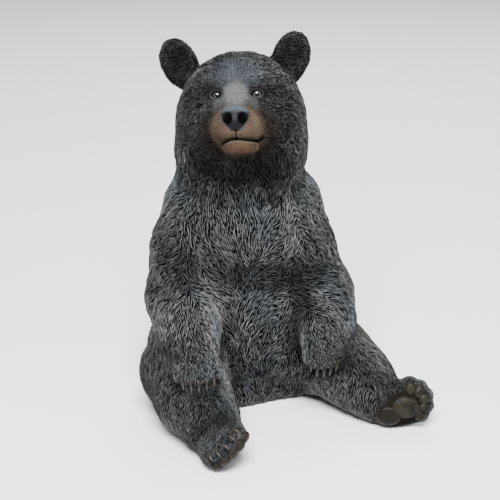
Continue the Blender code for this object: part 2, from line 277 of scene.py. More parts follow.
paws = []
for hand, size in HANDS:
    paws.append(hand.ball((0, -4, 0), (19 * size, 20, 12), 8))
    for i in range(-2, 3):
        paws.append(hand.ball((i * 8 * size, 11 - 1.3 * i**2, 1), (4.8 * size, 8.5, 6.5), 3))
for paw, size, splay in FEET:
    paws.append(paw.ball((0, -13, 0), (19.5 * size, 20 * size, 15), 8))
    paws.append(paw.ball((0, 4, 0), (22 * size, 20 * size, 13.5), 8))
    for left, front, turn in toe_spots(size, splay):
        paws.append(paw.ball((left, front, 0), (7.2 * size, 8.8 * size, 10.5), 4, turned(yaw=turn)))

EYE_SIZE, EYE_APART, EYE_FRONT, EYE_UP = 7.2, 18.7, 51.5, 6.9
EYE_MIDDLE, NOSE_MIDDLE = 0.7, 1.8  # how far left of the skull's middle they are set
ball, bar = SKULL.ball, SKULL.bar
head = [
    ball((0, -2, 4), (57, 54, 52), 12),
    ball((0, 24, 2), (40, 29, 36), 18),
    bar((0, 30, -6, 27), (0, 71, -22.5, 16.5), 16),
    bar((0, 8, -51, 27), (2, 47, -39.5, 12.5), 16),
    ball((4, 58.5, -42.5), (15.5, 16, 6.5), 9),
    ball((1.4, 79.5, -16.2), (13.2, 11, 8), 4, turned(pitch=-33)),
    ball((NOSE_MIDDLE, 81, -25.5), (7, 6.5, 7.5), 4),
]
for side in (-1, 1):
    head += [
        ball((NOSE_MIDDLE + side * 6.2, 81, -20), (7.6, 8, 7.2), 3),
        ball((side * 35, 0, -16), (28, 36, 34), 16),
        ball((side * 35, -8, -44), (26, 34, 30), 18),
        ball((side * 24, 26, -28), (20, 24, 20), 18),
        ball((side * 10.5, 60, -27.2), (11.5, 21.5, 11), 10),
        ball((side * 19, 36, 17), (15, 13, 8), 8),
        ball((EYE_MIDDLE + side * EYE_APART, EYE_FRONT - 5, EYE_UP), (9.5, 6.5, 7), 4),
    ]
for left, up, lean in ((-60, 49, -29), (49, 51, 20)):
    turn = turned(yaw=left * 0.25, roll=lean)
    head.append(ball((left, -10, up - 2), (19, 9.5, 28), 5, turn))
    head.append(ball((left * 1.02, -1, up), (11.5, 7, 18), 5, turn, cut=True))
for side in (-1, 1):
    nostril = (NOSE_MIDDLE + side * 7.3, 90, -19.8)
    lids = (EYE_MIDDLE + side * (EYE_APART + 0.3), EYE_FRONT + 3.5, EYE_UP - 0.5)
    head.append(ball(nostril, (4.0, 7, 5.5), 1.5, turned(roll=side * 8), cut=True))
    head.append(ball(lids, (5.3, 10, 3.7), 1.2, turned(roll=-side * 9), cut=True))
masses = [*torso, *limbs, *paws, *head]
MOUTH_LINE = [(-11.5, -40.4), (-5.6, -38.7), (2, -37.8), (11, -38.8), (19.5, -39.2), (25, -34.8)]
MOUTH = Crease(MOUTH_LINE, 1.5, 1.7, 40)
PHILTRUM = Crease([(2.2, -32), (2, -38)], 1.2, 1.2, 60)
LIP = Crease([(-9, -41.9), (-4, -40.7), (2, -40.0), (11, -41.0), (17.5, -41.5)], 1.2, 0, 44)


class Field:
    """Signed height above the bear's skin, in steps, for points that stay within a margin of their start."""

    def __init__(self, points, margin=14):
        self.near = []
        for mass in masses:
            gap = norms(points - mass.centre)
            self.near.append(np.nonzero(gap < mass.reach + mass.blend + margin)[0])

    def __call__(self, points):
        total = np.full(len(points), FAR)
        for mass, near in zip(masses, self.near):
            apart = mass.distance(points[near])
            if mass.cut:
                total[near] = -smooth_union(-total[near], apart, mass.blend)
            else:
                total[near] = smooth_union(total[near], apart, mass.blend)
        own = SKULL.own(points)
        for crease in (MOUTH, PHILTRUM):
            total += crease.depth * crease.share(own, crease.width)
        return np.maximum(total, -points[:, 2])

    def normals(self, points, gap=0.4):
        """Outward directions: the slope of the height over a short step along each axis."""
        here = self(points)
        slope = np.stack([self(points + gap * axis) - here for axis in np.eye(3)], axis=-1)
        return slope / np.maximum(norms(slope), TINY)[:, None]


def column(items, name, kind=np.float32, wide=1):
    """One value of every item of a mesh, or a row of them, in a flat array."""
    values = np.empty(len(items) * wide, kind)
    items.foreach_get(name, values)
    return values


def corners(mesh):
    """Places and outward normals of a mesh's points, as arrays."""
    both = column(mesh.vertices, "co", wide=3), column(mesh.vertex_normals, "vector", wide=3)
    return [values.reshape(-1, 3).astype(float) for values in both]


def set_corners(mesh, points):
    mesh.vertices.foreach_set("co", points.astype(np.float32).ravel())
    mesh.update()


def settle(mesh, rounds):
    """Each point slides along its normal to where the height is zero."""
    field = Field(corners(mesh)[0])
    for _ in range(rounds):
        points, normals = corners(mesh)
        rise = np.clip(field(points), -SETTLE_AT_MOST, SETTLE_AT_MOST)
        set_corners(mesh, points - rise[:, None] * normals)


def mesh_of(name, points, faces):
    """A mesh from an array of places and an array of triangles."""
    mesh = bpy.data.meshes.new(name)
    mesh.vertices.add(len(points))
    mesh.loops.add(faces.size)
    mesh.polygons.add(len(faces))
    mesh.vertices.foreach_set("co", points.astype(np.float32).ravel())
    mesh.polygons.foreach_set("loop_start", np.arange(0, faces.size, 3, dtype=np.int32))
    mesh.loops.foreach_set("vertex_index", faces.astype(np.int32).ravel())
    mesh.update(calc_edges=True)
    return mesh


def piece_of(name, data):
    piece = bpy.data.objects.new(name, data)
    bpy.context.scene.collection.objects.link(piece)
    return piece


def remeshed(piece, voxel):
    remesh = piece.modifiers.new("join", "REMESH")
    remesh.mode = "VOXEL"
    remesh.voxel_size = voxel
    joined = bpy.data.meshes.new_from_object(piece.evaluated_get(bpy.context.evaluated_depsgraph_get()))
    piece.modifiers.clear()
    piece.data = joined
    return joined


def refined(mesh, wanted):
    """Splits in four the faces whose middle is wanted, and fills the rim round them."""
    bm = bmesh.new()
    bm.from_mesh(mesh)
    middles = np.array([face.calc_center_median() for face in bm.faces])
    chosen = wanted(middles)
    edges = {edge for face, yes in zip(bm.faces, chosen) if yes for edge in face.edges}
    bmesh.ops.subdivide_edges(bm, edges=list(edges), cuts=1, use_grid_fill=True)
    bm.to_mesh(mesh)
    bm.free()
    mesh.update()


def by_face(points):
    own = SKULL.own(points)
    return norms((own - (0, 66, -16)) / (36, 40, 42)) < 1


def by_features(points):
    """The eyes, the nose and the mouth, whose forms are the smallest."""
    own = SKULL.own(points)
    own[:, 0] = np.abs(own[:, 0])
    eye = norms((own - (EYE_APART, 50, EYE_UP)) / (13, 12, 9)) < 1
    nose = norms((own - (0, 86, -20)) / (17, 14, 17)) < 1
    mouth = MOUTH.share(SKULL.own(points), 3.2) > 0.3
    return eye | nose | mouth


laid_clay = [mass.surface() for mass in masses if not mass.cut]
offsets = np.cumsum([0] + [len(points) for points, _ in laid_clay])
clay = mesh_of(
    "clay",
    np.concatenate([points for points, _ in laid_clay]),
    np.concatenate([faces + offset for (_, faces), offset in zip(laid_clay, offsets)]),
)
casting = piece_of("bear_casting", clay)
for voxel, rounds in SKIN_STEPS:
    settle(remeshed(casting, voxel), rounds)
for part in (by_face, by_features):
    refined(casting.data, part)
    settle(casting.data, FEATURE_ROUNDS)
skin, outward = corners(casting.data)
low, high = (np.array(corner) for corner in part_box("bear"))
place = (low + high) / 2 - (skin.min(axis=0) + skin.max(axis=0)) / 2 * STEP
place[2] = 0


# The combed coat.
# The hairs are tooled into the clay before the mould is made, in tapered strokes that lie over each other
# like shingles and gather in tufts. Each stroke is a low closed ridge, rooted under the skin.

class Comb:
    """A line that the fur is combed by: with the line, and away from it to both sides."""

    def __init__(self, start, end, reach, along=0.0, away=0.0):
        self.start, self.run = np.array(start, float), np.array(end, float) - np.array(start, float)
        self.reach, self.along, self.away = reach, along, away

    def pull(self, points):
        """(along x the line's direction + away x the direction from the line), fading over the reach. Near
        the line the second one grows from nothing, so that the parting stays closed."""
        share = np.clip((points - self.start) @ self.run / (self.run @ self.run), 0, 1)
        off = points - self.start - share[:, None] * self.run
        gap = norms(off)[:, None]
        way = self.along * self.run / np.linalg.norm(self.run) + self.away * off / (gap + PARTING)
        return way * np.exp(-((gap / self.reach) ** 2))


PARTING = 9  # steps from a parting within which the fur turns
COMBS = [
    Comb(SKULL.spot(0, 90, -20), SKULL.spot(0, 30, 0), 85, away=3.6),
    Comb((4, -20, 250), (14, -24, 170), 60, away=-0.5),
    Comb((14, -24, 170), (15, -24, 60), 55, away=-1.0),
    Comb((-62, 0, 214), (-66, -14, 140), 42, away=1.8),
    Comb((46, 4, 208), (42, -12, 120), 46, away=1.9),
    Comb((-66, -20, 130), (-67, -78, 80), 30, along=0.9, away=0.8),
    Comb((42, -12, 120), (50, -40, 66), 38, along=0.2, away=1.9),
    Comb((-60, 60, 60), (-58, -100, 40), 45, along=0.9),
    Comb((70, 60, 60), (124, -50, 40), 45, along=0.15),
    Comb((5, 130, 240), (9, 140, 60), 70, away=0.4),
]


def unit(vectors):
    return vectors / np.maximum(np.linalg.norm(vectors, axis=-1, keepdims=True), TINY)


def flat_on(vectors, normals):
    """What is left of each vector once it is laid flat on the skin, at length 1."""
    return unit(vectors - (vectors * normals).sum(axis=1)[:, None] * normals)


def swirl(points, wave):
    """A smooth wander between -1 and 1: three crossed sine waves of about that length."""
    x, y, z = (points / wave * 2 * math.pi).T
    wavy, slanted = np.sin(x + 1.3 * np.sin(0.7 * z)), np.sin(1.1 * y + 0.9 * x + 2)
    return (wavy + slanted + np.sin(0.9 * z - 0.6 * y + 4)) / 3


def flow(points, normals):
    """Which way the fur lies: down, and as the combs pull it, flat on the skin."""
    return flat_on(sum(comb.pull(points) for comb in COMBS) - np.array((0, 0, 1.0)), normals)


def veered(ways, normals, turn):
    """Each way turned about its normal: way cos(turn) + (normal x way) sin(turn)."""
    return ways * np.cos(turn)[:, None] + np.cross(normals, ways) * np.sin(turn)[:, None]


TUFT_APART, TUFT_LENGTH, TUFT_WIDTH, TUFT_RISE = 12, 30, 12, 2.2
NEIGHBOURS = [(dx, dy, dz) for dx in (0, -1, 1) for dy in (0, -1, 1) for dz in (0, -1, 1)]


def spread(points, ways, along, across, rng):
    """Indices of points that keep clear of each other, taken in a shuffled order: round each lies an
    egg, along its way and across it, with no other point inside."""
    reach = along.max()
    kept, cells = [], {}
    rows = list(zip(points.tolist(), ways.tolist(), along.tolist(), across.tolist()))
    homes = np.floor(points / reach).astype(int).tolist()
    for i in rng.permutation(len(points)).tolist():
        (x, y, z), (wx, wy, wz), long, wide = rows[i]
        home, clear = homes[i], True
        for dx, dy, dz in NEIGHBOURS:
            for px, py, pz in cells.get((home[0] + dx, home[1] + dy, home[2] + dz), ()):
                ox, oy, oz = px - x, py - y, pz - z
                run = ox * wx + oy * wy + oz * wz
                if (run / long) ** 2 + (ox * ox + oy * oy + oz * oz - run * run) / wide**2 < 1:
                    clear = False
                    break
            if not clear:
                break
        if clear:
            cells.setdefault(tuple(home), []).append((x, y, z))
            kept.append(i)
    return np.array(kept)


rng = np.random.default_rng(11)
room = np.full(len(skin), float(TUFT_APART))
skin_ways = flow(skin, outward)
tufts = spread(skin, skin_ways, room, room, rng)
tuft_roots, tuft_normals, tuft_ways = skin[tufts], outward[tufts], skin_ways[tufts]
tuft_tree = KDTree(len(tufts))
for k, middle in enumerate(tuft_roots + tuft_ways * TUFT_LENGTH / 2):
    tuft_tree.insert(middle, k)
tuft_tree.balance()


def tufts_by(points, count=8):
    """The tufts whose middles are nearest to each point, as rows of indices."""
    return np.array([[k for _, k, _ in tuft_tree.find_n(point, count)] for point in points])


def tufted(points, normals, near):
    """Height of the tufts over the skin, 0 to 1, the highest of those near, with its index. With s from 0
    at a tuft's root to 1 at its tip, it is (4 s (1 - s))^0.35 TUFT_WIDTH wide, an arch across, and rises
    from 0.35 to 1."""
    best, which = np.zeros(len(points)), near[:, 0].copy()
    for k in near.T:
        off = points - tuft_roots[k]
        run = (off * tuft_ways[k]).sum(axis=1) / TUFT_LENGTH
        aside = norms(off - run[:, None] * tuft_ways[k] * TUFT_LENGTH)
        inside = np.clip(run, 0, 1)
        width = TUFT_WIDTH / 2 * np.clip(4 * inside * (1 - inside), 0, 1) ** 0.35
        rise = np.clip(1 - (aside / np.maximum(width, 0.5)) ** 2, 0, 1) * (0.35 + 0.65 * inside)
        rise *= (normals * tuft_normals[k]).sum(axis=1) > 0.2
        higher = rise > best
        best[higher], which[higher] = rise[higher], k[higher]
    return best, which


NOSE = (NOSE_MIDDLE, 82, -18.5), (13.4, 13, 14.2)  # middle and half sizes of its bare skin


def smooth_step(value, low, high):
    """0 at the low end, 1 at the high one, and t^2 (3 - 2 t) of the way between them."""
    share = np.clip((value - low) / (high - low), 0, 1)
    return share * share * (3 - 2 * share)


def egg_share(own, centre, sizes):
    """How far a point is from an egg's middle, as a share of the way to its skin."""
    return norms((own - np.array(centre)) / np.array(sizes))


def in_egg(own, centre, sizes, outer, inner):
    """0 outside the outer share of an egg and 1 inside the inner one."""
    return smooth_step(egg_share(own, centre, sizes), outer, inner)


def face_parts(points):
    """Left, front and up on the skull, as they are and with both halves of the face laid on one."""
    own = SKULL.own(points)
    folded = own.copy()
    middle = EYE_MIDDLE + (NOSE_MIDDLE - EYE_MIDDLE) * smooth_step(own[:, 1], 55, 80)
    folded[:, 0] = np.abs(own[:, 0] - middle)
    return own, folded


def sole_of(points, paw, size):
    """How much a point belongs to the bare sole of a hind paw: on its underside, near its ball."""
    own = paw.own(points)
    under = smooth_step(-own[:, 2], 2, 6)
    return under * in_egg(own, (-1.5, -4, -8), (17 * size, 27 * size, 14), 1.1, 0.95)


def bare(points):
    """1 where no hair is carved: nose, lips, lids, soles and the underside."""
    own, folded = face_parts(points)
    nose = in_egg(own, *NOSE, 1.06, 0.98)
    eye = in_egg(folded, (EYE_APART, 51, EYE_UP), (7.4, 9, 5.4), 1.1, 0.95)
    lips = MOUTH.share(own, 2.0) + LIP.share(own, 1.1)
    soles = sum(sole_of(points, paw, size) for paw, size, _ in FEET)
    return np.clip(nose + eye + lips + soles + smooth_step(points[:, 2], 2.0, 1.0), 0, 1)


def hair_length(points):
    """Length of the hairs: 3 steps on the muzzle, 6 on cheeks and crown, 9 on the body, and down to 4.5
    on the hands and 3.8 on the feet."""
    own, _ = face_parts(points)
    length = 3.0 + 3.0 * smooth_step(norms((own - (0, 60, -12)) * (1, 1, 0.8)), 16, 54)
    below, away = -own[:, 2], smooth_step(norms(own), 95, 125)
    length += 3.0 * np.maximum(smooth_step(below, 30, 80), away * smooth_step(below, -20, 20))
    ends = [(paw.spot(0, 8, 0), 4.5, 3.5, 14, 44) for paw, _ in HANDS]
    ends += [(paw.spot(0, 12, 0), 3.8, 4.2, 16, 56) for paw, _, _ in FEET]
    for middle, least, more, near, far in ends:
        gap = norms(points - middle)
        length = np.minimum(length, least + more * smooth_step(gap, near, far))
    return length


near_skin = tufts_by(skin)
rise, _ = tufted(skin, outward, near_skin)
furred = (1 - bare(skin)) * smooth_step(hair_length(skin), 4.0, 7.0)
skin_points = skin + ((rise - 0.5) * TUFT_RISE * furred)[:, None] * outward


def sown(piece, points, crowd):
    """Places strewn on the skin: each face gets its share by its area, and each place falls anywhere on
    its face by a blend of the face's corners."""
    mesh = piece.data
    loops = column(mesh.loops, "vertex_index", np.int32)
    starts, areas = column(mesh.polygons, "loop_start", np.int32), column(mesh.polygons, "area")
    sides = np.diff(np.append(starts, len(loops)))
    ring = [points[loops[starts + np.minimum(k, sides - 1)]] for k in range(4)]
    middles = sum(ring) / 4
    along, across = hair_room(hair_length(middles))
    wanted = crowd * areas / (along * across) * (1 - bare(middles))
    tally = np.floor(np.cumsum(wanted)).astype(int)
    hosts = np.repeat(np.arange(len(starts)), np.diff(tally, prepend=0))
    a, b = rng.random((2, len(hosts), 1))
    near = (1 - b) * ring[0][hosts] + b * ring[1][hosts]
    return (1 - a) * near + a * ((1 - b) * ring[3][hosts] + b * ring[2][hosts])


def hair_room(length):
    """How far hairs keep from each other along and across their way."""
    return 0.55 * length, 0.42 + 0.068 * length


def hair_width(length):
    """0.6 steps across for the shortest hairs and 1.2 for the longest."""
    return 0.44 + 0.063 * length


CROWD = 5.0  # places strewn for each that fits
STRAY = 22  # steps that no part of a hair strays beyond its place
SHORTEST, LONGEST = 0.75, 1.4  # shares of the usual length
JITTER = 0.06  # how much single hairs turn aside, in radians
TUFT_PULL, TUFT_GATHER = 0.8, 0.5  # how much a tuft turns its hairs along itself and towards its middle
WANDER = ((0.22, 34), (0.11, 12))  # radians that hairs wander aside together, and the steps of each wave

roots = sown(casting, skin, CROWD)
field = Field(roots, margin=STRAY)
root_ups = field.normals(roots)
kept = spread(roots, flow(roots, root_ups), *hair_room(hair_length(roots)), rng)
roots, root_ups = roots[kept], root_ups[kept]
near_roots = tufts_by(roots)
field = Field(roots, margin=STRAY)
length = hair_length(roots) * rng.uniform(SHORTEST, LONGEST, len(roots))
soft = smooth_step(length, 4.0, 8.0)  # how much a hair keeps to its tuft
jitter = rng.normal(0, JITTER, len(roots))


def combed(points, normals, steps):
    """The next point of each hair: a step along the flow, turned towards the middle of its tuft and by a
    smooth wander, then dropped on the skin. Gives the points, their normals and the ways taken."""
    _, tuft = tufted(points, normals, near_roots)
    off = points - tuft_roots[tuft]
    aside = off - (off * tuft_ways[tuft]).sum(axis=1)[:, None] * tuft_ways[tuft]
    gather = np.clip(norms(aside) / TUFT_WIDTH, 0, 1)[:, None] * unit(aside)
    tuft_way = (tuft_ways[tuft] * TUFT_PULL - gather * TUFT_GATHER) * soft[:, None]
    turn = jitter
    for most, wave in WANDER:
        turn = turn + most * swirl(points, wave)
    ways = veered(flat_on(flow(points, normals) + tuft_way, normals), normals, turn)
    points = points + ways * steps[:, None]
    normals = field.normals(points)
    points = points - field(points)[:, None] * normals
    return points, field.normals(points), ways


# Each hair is traced both ways from its place, so that no parting opens between hairs that lie apart.
SHORT, HALF = 0.18, 0.32  # from the place to a ring and from there to the end, as shares of the length
trail = {}
for sign, ring, end in ((-1, 1, 0), (1, 2, 3)):
    at, up = roots, root_ups
    for station, share in ((ring, SHORT), (end, HALF)):
        at, up, ways = combed(at, up, sign * share * length)
        trail[station] = (at, up, ways)
spine, ups, lefts = [], [], []
for station in range(4):
    at, up, ways = trail[station]
    rise, _ = tufted(at, up, near_roots)
    spine.append(at + ((rise - 0.5) * TUFT_RISE * soft)[:, None] * up)
    ups.append(up)
    lefts.append(np.cross(up, flat_on(ways, up)))
width = hair_width(length) * rng.uniform(0.8, 1.2, len(roots))
high = 0.1 + 0.65 * width  # of the ridge
# A hair's points: root, then right foot, ridge and left foot at two stations, then tip. For each its
# station, its place across the width, its height over the skin and how much of the brush it catches.
STATION = (0, 1, 1, 1, 2, 2, 2, 3)
ASIDE = (0, -0.5, 0, 0.5, -0.42, 0, 0.42, 0)
RAISED = (-0.5, -0.5, 0.9, -0.5, -0.4, 1.0, -0.4, 0.2)
RIDGE = (0.0, 0.0, 0.95, 0.0, 0.0, 1.0, 0.0, 0.55)
POINTS_OF_A_HAIR = len(STATION)
HAIR_FACES = ring_faces(2, 3)
# For baking, each hair has a square cell of its own, with its two flanks and its underside side by side.
FLANKS_ACROSS = np.array((0.45, 0.05, 0.45, 0.85, 0.05, 0.45, 0.85, 0.45))
UNDER_ACROSS = np.array((0.935, 0.9, 0, 0.97, 0.9, 0, 0.97, 0.935))
STATION_UP = np.array((0.04, 0.33, 0.67, 0.96))[np.array(STATION)]
UNDERSIDE = ~np.isin(HAIR_FACES, (2, 5)).any(axis=1)
ACROSS = np.where(UNDERSIDE[:, None], UNDER_ACROSS[HAIR_FACES], FLANKS_ACROSS[HAIR_FACES])
HAIR_CELL = np.stack((ACROSS, STATION_UP[HAIR_FACES]), axis=-1)
LOWEST = 0.05  # steps over the ground, so that nothing goes below the underside
hairs = np.stack([
    spine[k] + lefts[k] * (aside * width)[:, None] + ups[k] * (raised * high)[:, None]
    for k, aside, raised in zip(STATION, ASIDE, RAISED)
], axis=1)
hairs[..., 2] = np.maximum(hairs[..., 2], LOWEST)


# Paint.
# The casting is sprayed near-black, then the ridges of the coat are dry-brushed grey, bluish on brow and
# shoulders. The muzzle is tan, the chin reddish brown, the bridge pale grey and the nose slate, by airbrush.
# Painted shade darkens the grey in hollows and in spots, painted light brightens a few spots, and the nose
# has painted light on its top and painted highlights.


def mixed(under, colour, share):
    """A colour laid over another by a share from 0 to 1."""
    return under + (np.array(colour) - under) * share[:, None]


SHADE = 0.57  # how deep all the paints of the casting are
DARKEST = 0.0015
# Spots of painted shade: under the head and the chest, in the hollows between limbs and body, on the
# flanks, the feet and the ears. Those with a minus are painted light, on the belly and the chest. For each,
# its middle and half sizes, and the share of the grey that is taken away or added.
PAINTED_SHADE_AND_LIGHT_SPOTS = (
    ((-62, -105, 32), (42, 52, 44), 0.5),
    ((135, -68, 28), (36, 36, 34), 0.5),
    ((-98, -34, 56), (40, 56, 44), 0.6),
    ((17, -4, 142), (46, 26, 18), 0.6),
    ((48, -12, 112), (11, 26, 46), 0.6),
    ((61, 1, 139), (17, 22, 20), 0.5),
    ((-63, -1, 149), (13, 24, 34), 0.55),
    ((-87, -52, 92), (16, 22, 14), 0.5),
    ((-88, 10, 165), (22, 60, 66), 0.45),
    ((88, 6, 146), (20, 60, 66), 0.4),
    ((112, -22, 60), (44, 60, 40), 0.4),
    ((15, -14, 69), (7, 30, 46), 0.3),
    ((-22, -16, 100), (26, 30, 40), -0.35),
    ((34, -16, 92), (15, 30, 40), -0.3),
    ((-6, -20, 205), (44, 40, 30), -0.08),
    ((-15, -10, 256), (62, 44, 24), 0.75),
    (SKULL.spot(-62, -8, 48), (28, 24, 36), 0.5),
    (SKULL.spot(51, -8, 50), (28, 24, 36), 0.5),
)
# Soft spots of the head, by airbrush in this order: middle and half sizes on the skull, how far out each
# fades from and to as shares of those, and the colours in the grooves and on the ridges.
AIRBRUSHED = (
    ((0, 42, 27), (30, 30, 24), 1.15, 0.35, (0.03, 0.034, 0.04), (0.17, 0.188, 0.208)),  # brow
    ((2, 52, -30), (46, 38, 30), 1.1, 0.7, (0.005, 0.004, 0.0035), (0.052, 0.041, 0.032)),  # round the muzzle
    ((3, 66, -29), (30, 30, 23), 1.15, 0.8, (0.02, 0.014, 0.01), (0.085, 0.058, 0.039)),  # brown
    ((2.5, 68, -25), (24, 28, 18.5), 1.15, 0.6, (0.1, 0.07, 0.047), (0.19, 0.139, 0.098)),  # tan
    ((4.5, 62, -45.4), (17.5, 22, 5.6), 1.3, 0.5, (0.1, 0.06, 0.039), (0.165, 0.102, 0.066)),  # chin
    ((0.5, 62, 6), (11.5, 28, 17), 1.25, 0.6, (0.06, 0.063, 0.062), (0.17, 0.18, 0.178)),  # bridge
)


def over(paint, share, wash, brush):
    """Both colours of a paint with another pair laid over them: old + (new - old) share."""
    return mixed(paint[0], wash, share), mixed(paint[1], brush, share)


def coat_colours(points, normals):
    """The near-black wash and the grey brushed over it, darkened by painted shade in hollows and in
    spots, lightened by painted light in a few spots, and bluish in places."""
    field = Field(points, margin=44)
    # Painted shade in hollows: how open the air is over each point, near and farther out.
    painted_shade_openness = 0.5 * smooth_step(field(points + 12 * normals), 3.0, 12.0)
    painted_shade_openness += 0.5 * smooth_step(field(points + 28 * normals), 6.0, 26.0)
    wash = np.zeros((len(points), 3)) + (0.003, 0.0031, 0.0033)
    brush = np.zeros((len(points), 3)) + (0.195, 0.2, 0.196)
    brush = mixed(brush, (0.175, 0.192, 0.205), smooth_step(swirl(points, 70), 0.1, 0.6))
    # Painted shade darkens the grey where the air is closed in; the swirl adds a tone that differs at random.
    brush *= (0.22 + 0.78 * painted_shade_openness + 0.14 * swirl(points, 48))[:, None]
    # Spots of painted shade, and of painted light where the share is below zero.
    for centre, sizes, painted_shade_share in PAINTED_SHADE_AND_LIGHT_SPOTS:
        brush *= 1 - painted_shade_share * in_egg(points, centre, sizes, 1.15, 0.6)[:, None]
    return wash, brush


def slate_colours(own, folded, normals, rim):
    """The nose: dark slate, with painted light on its top plane where it faces up, a painted
    highlight down its middle and on its wings, and paler along its lower edge."""
    slate = np.zeros((len(own), 3)) + (0.012, 0.0127, 0.0135)
    # Painted highlights down the middle of the nose and on its wings.
    painted_highlight = smooth_step(folded[:, 0], 2.6, 1.2) * smooth_step(-own[:, 2], 25, 19)
    slate = mixed(slate, (0.032, 0.035, 0.038), np.maximum(painted_highlight, smooth_step(folded[:, 0], 11.8, 13.2)))
    # Painted light: the slate is paler where the nose faces the skull's up, on its top plane.
    slate = mixed(slate, (0.08, 0.094, 0.108), smooth_step(normals @ SKULL.turn[:, 2], 0.35, 0.8))
    edge = (1 - smooth_step(np.abs(rim - 0.95), 0.02, 0.06)) * smooth_step(-22 - own[:, 2], 0, 3)
    return mixed(slate, (0.07, 0.075, 0.075), edge * smooth_step(folded[:, 0], 3, 6) * 0.7)


def painted(points, normals):
    """The colour washed into the grooves and the one brushed on the ridges at each point: a body colour
    under soft-edged spots, each an egg that fades from its middle or rim."""
    own, folded = face_parts(points)
    wash, brush = coat_colours(points, normals)
    skull = in_egg(own, (0, 26, -14), (70, 62, 52), 1.1, 0.75)
    paint = wash, mixed(brush, (0.088, 0.09, 0.091), skull * 0.9)
    for *egg, deep, proud in AIRBRUSHED:
        paint = over(paint, in_egg(own, *egg), deep, proud)
    eye = in_egg(folded, (EYE_APART + 1.0, 50, EYE_UP + 0.5), (10.0, 12, 6.8), 1.25, 0.8)
    paint = over(paint, eye, (0.004, 0.004, 0.004), (0.035, 0.034, 0.034))
    lid = 1 - smooth_step(np.abs(egg_share(folded, (EYE_APART, 52, EYE_UP), (6.3, 8, 4.7)) - 1.0), 0.04, 0.15)
    lid *= smooth_step(EYE_UP - own[:, 2], 0.5, 3.0)
    paint = over(paint, lid, (0.04, 0.038, 0.036), (0.09, 0.087, 0.084))
    rim = egg_share(own, *NOSE)
    nose = smooth_step(rim, 1.04, 0.97)
    slate = slate_colours(own, folded, normals, rim)
    paint = over(paint, nose, slate, slate)
    nostril = in_egg(folded, (7.0, 89, -20.4), (4.9, 8, 6.6), 1.0, 0.7)
    groove = np.clip(MOUTH.share(own, 1.9) + PHILTRUM.share(own, 0.8) + nostril, 0, 1)
    paint = over(paint, groove, (0.002, 0.002, 0.002), (0.002, 0.002, 0.002))
    groove = np.maximum(groove, nose * smooth_step(-own[:, 2], 22, 27) * smooth_step(folded[:, 0], 6.5, 3.5))
    lip = LIP.share(own, 0.8) * (1 - groove)
    paint = over(paint, lip, (0.05, 0.045, 0.04), (0.10, 0.092, 0.083))
    for paw, size, _ in FEET:
        paint = over(paint, sole_of(points, paw, size), (0.004, 0.0035, 0.003), (0.015, 0.013, 0.010))
    return [np.clip(SHADE * colour, DARKEST, 1) for colour in paint]


def store(mesh, name, values):
    """Keeps one number or one colour for each point of a mesh, for its material to read."""
    kind = "FLOAT" if values.ndim == 1 else "FLOAT_COLOR"
    if values.ndim == 2:
        values = np.concatenate((values, np.ones((len(values), 1))), axis=1)
    attribute = mesh.attributes.new(name, kind, "POINT")
    attribute.data.foreach_set("value" if kind == "FLOAT" else "color", values.astype(np.float32).ravel())


def node(tree, kind, given, **settings):
    """The outputs of a new node, after its settings are made and its inputs linked or set to a value."""
    made = tree.nodes.new("ShaderNode" + kind)
    for name, value in settings.items():
        setattr(made, name, value)
    for name, value in given.items():
        if isinstance(value, bpy.types.NodeSocket):
            tree.links.new(value, made.inputs[name])
        else:
            made.inputs[name].default_value = value
    return made.outputs


def noise(tree, place, scale, detail, rough=0.5):
    given = {"Vector": place, "Scale": scale, "Detail": detail, "Roughness": rough}
    return node(tree, "TexNoise", given)["Fac"]


def added(tree, value, times, more):
    """value x times + more."""
    return node(tree, "Math", {0: value, 1: times, 2: more}, operation="MULTIPLY_ADD")[0]


def ranged(tree, value, low, high, to_low=0.0, to_high=1.0):
    """A smooth step from one range to another."""
    ends = {"From Min": low, "From Max": high, "To Min": to_low, "To Max": to_high}
    return node(tree, "MapRange", {"Value": value, **ends}, interpolation_type="SMOOTHSTEP")["Result"]


MIX_SHARE, MIX_UNDER, MIX_ABOVE, MIX_COLOUR = 0, 6, 7, 2  # the colour sockets of a Mix node


def colour_mix(tree, share, under, above):
    given = {MIX_SHARE: share, MIX_UNDER: under, MIX_ABOVE: above}
    return node(tree, "Mix", given, data_type="RGBA")[MIX_COLOUR]


def stored(tree, name, output="Fac"):
    """Reads what store() kept."""
    return node(tree, "Attribute", {}, attribute_name=name)[output]


def place_in(tree):
    return node(tree, "TexCoord", {})["Object"]


def new_paint(name, shine):
    """A new material, its node tree and its shader."""
    material = bpy.data.materials.new(name)
    material.use_nodes = True
    shader = material.node_tree.nodes["Principled BSDF"]
    shader.inputs["Specular IOR Level"].default_value = shine
    return material, material.node_tree, shader


GRAIN = 0.0002  # metres


def finished(tree, shader, colour, roughness, height, strength):
    """Leads colour and roughness to the shader, and bumps of the paint's own grain."""
    grain = node(tree, "Bump", {"Strength": strength, "Distance": GRAIN, "Height": height})
    for name, value in (("Base Color", colour), ("Roughness", roughness), ("Normal", grain["Normal"])):
        tree.links.new(value, shader.inputs[name])


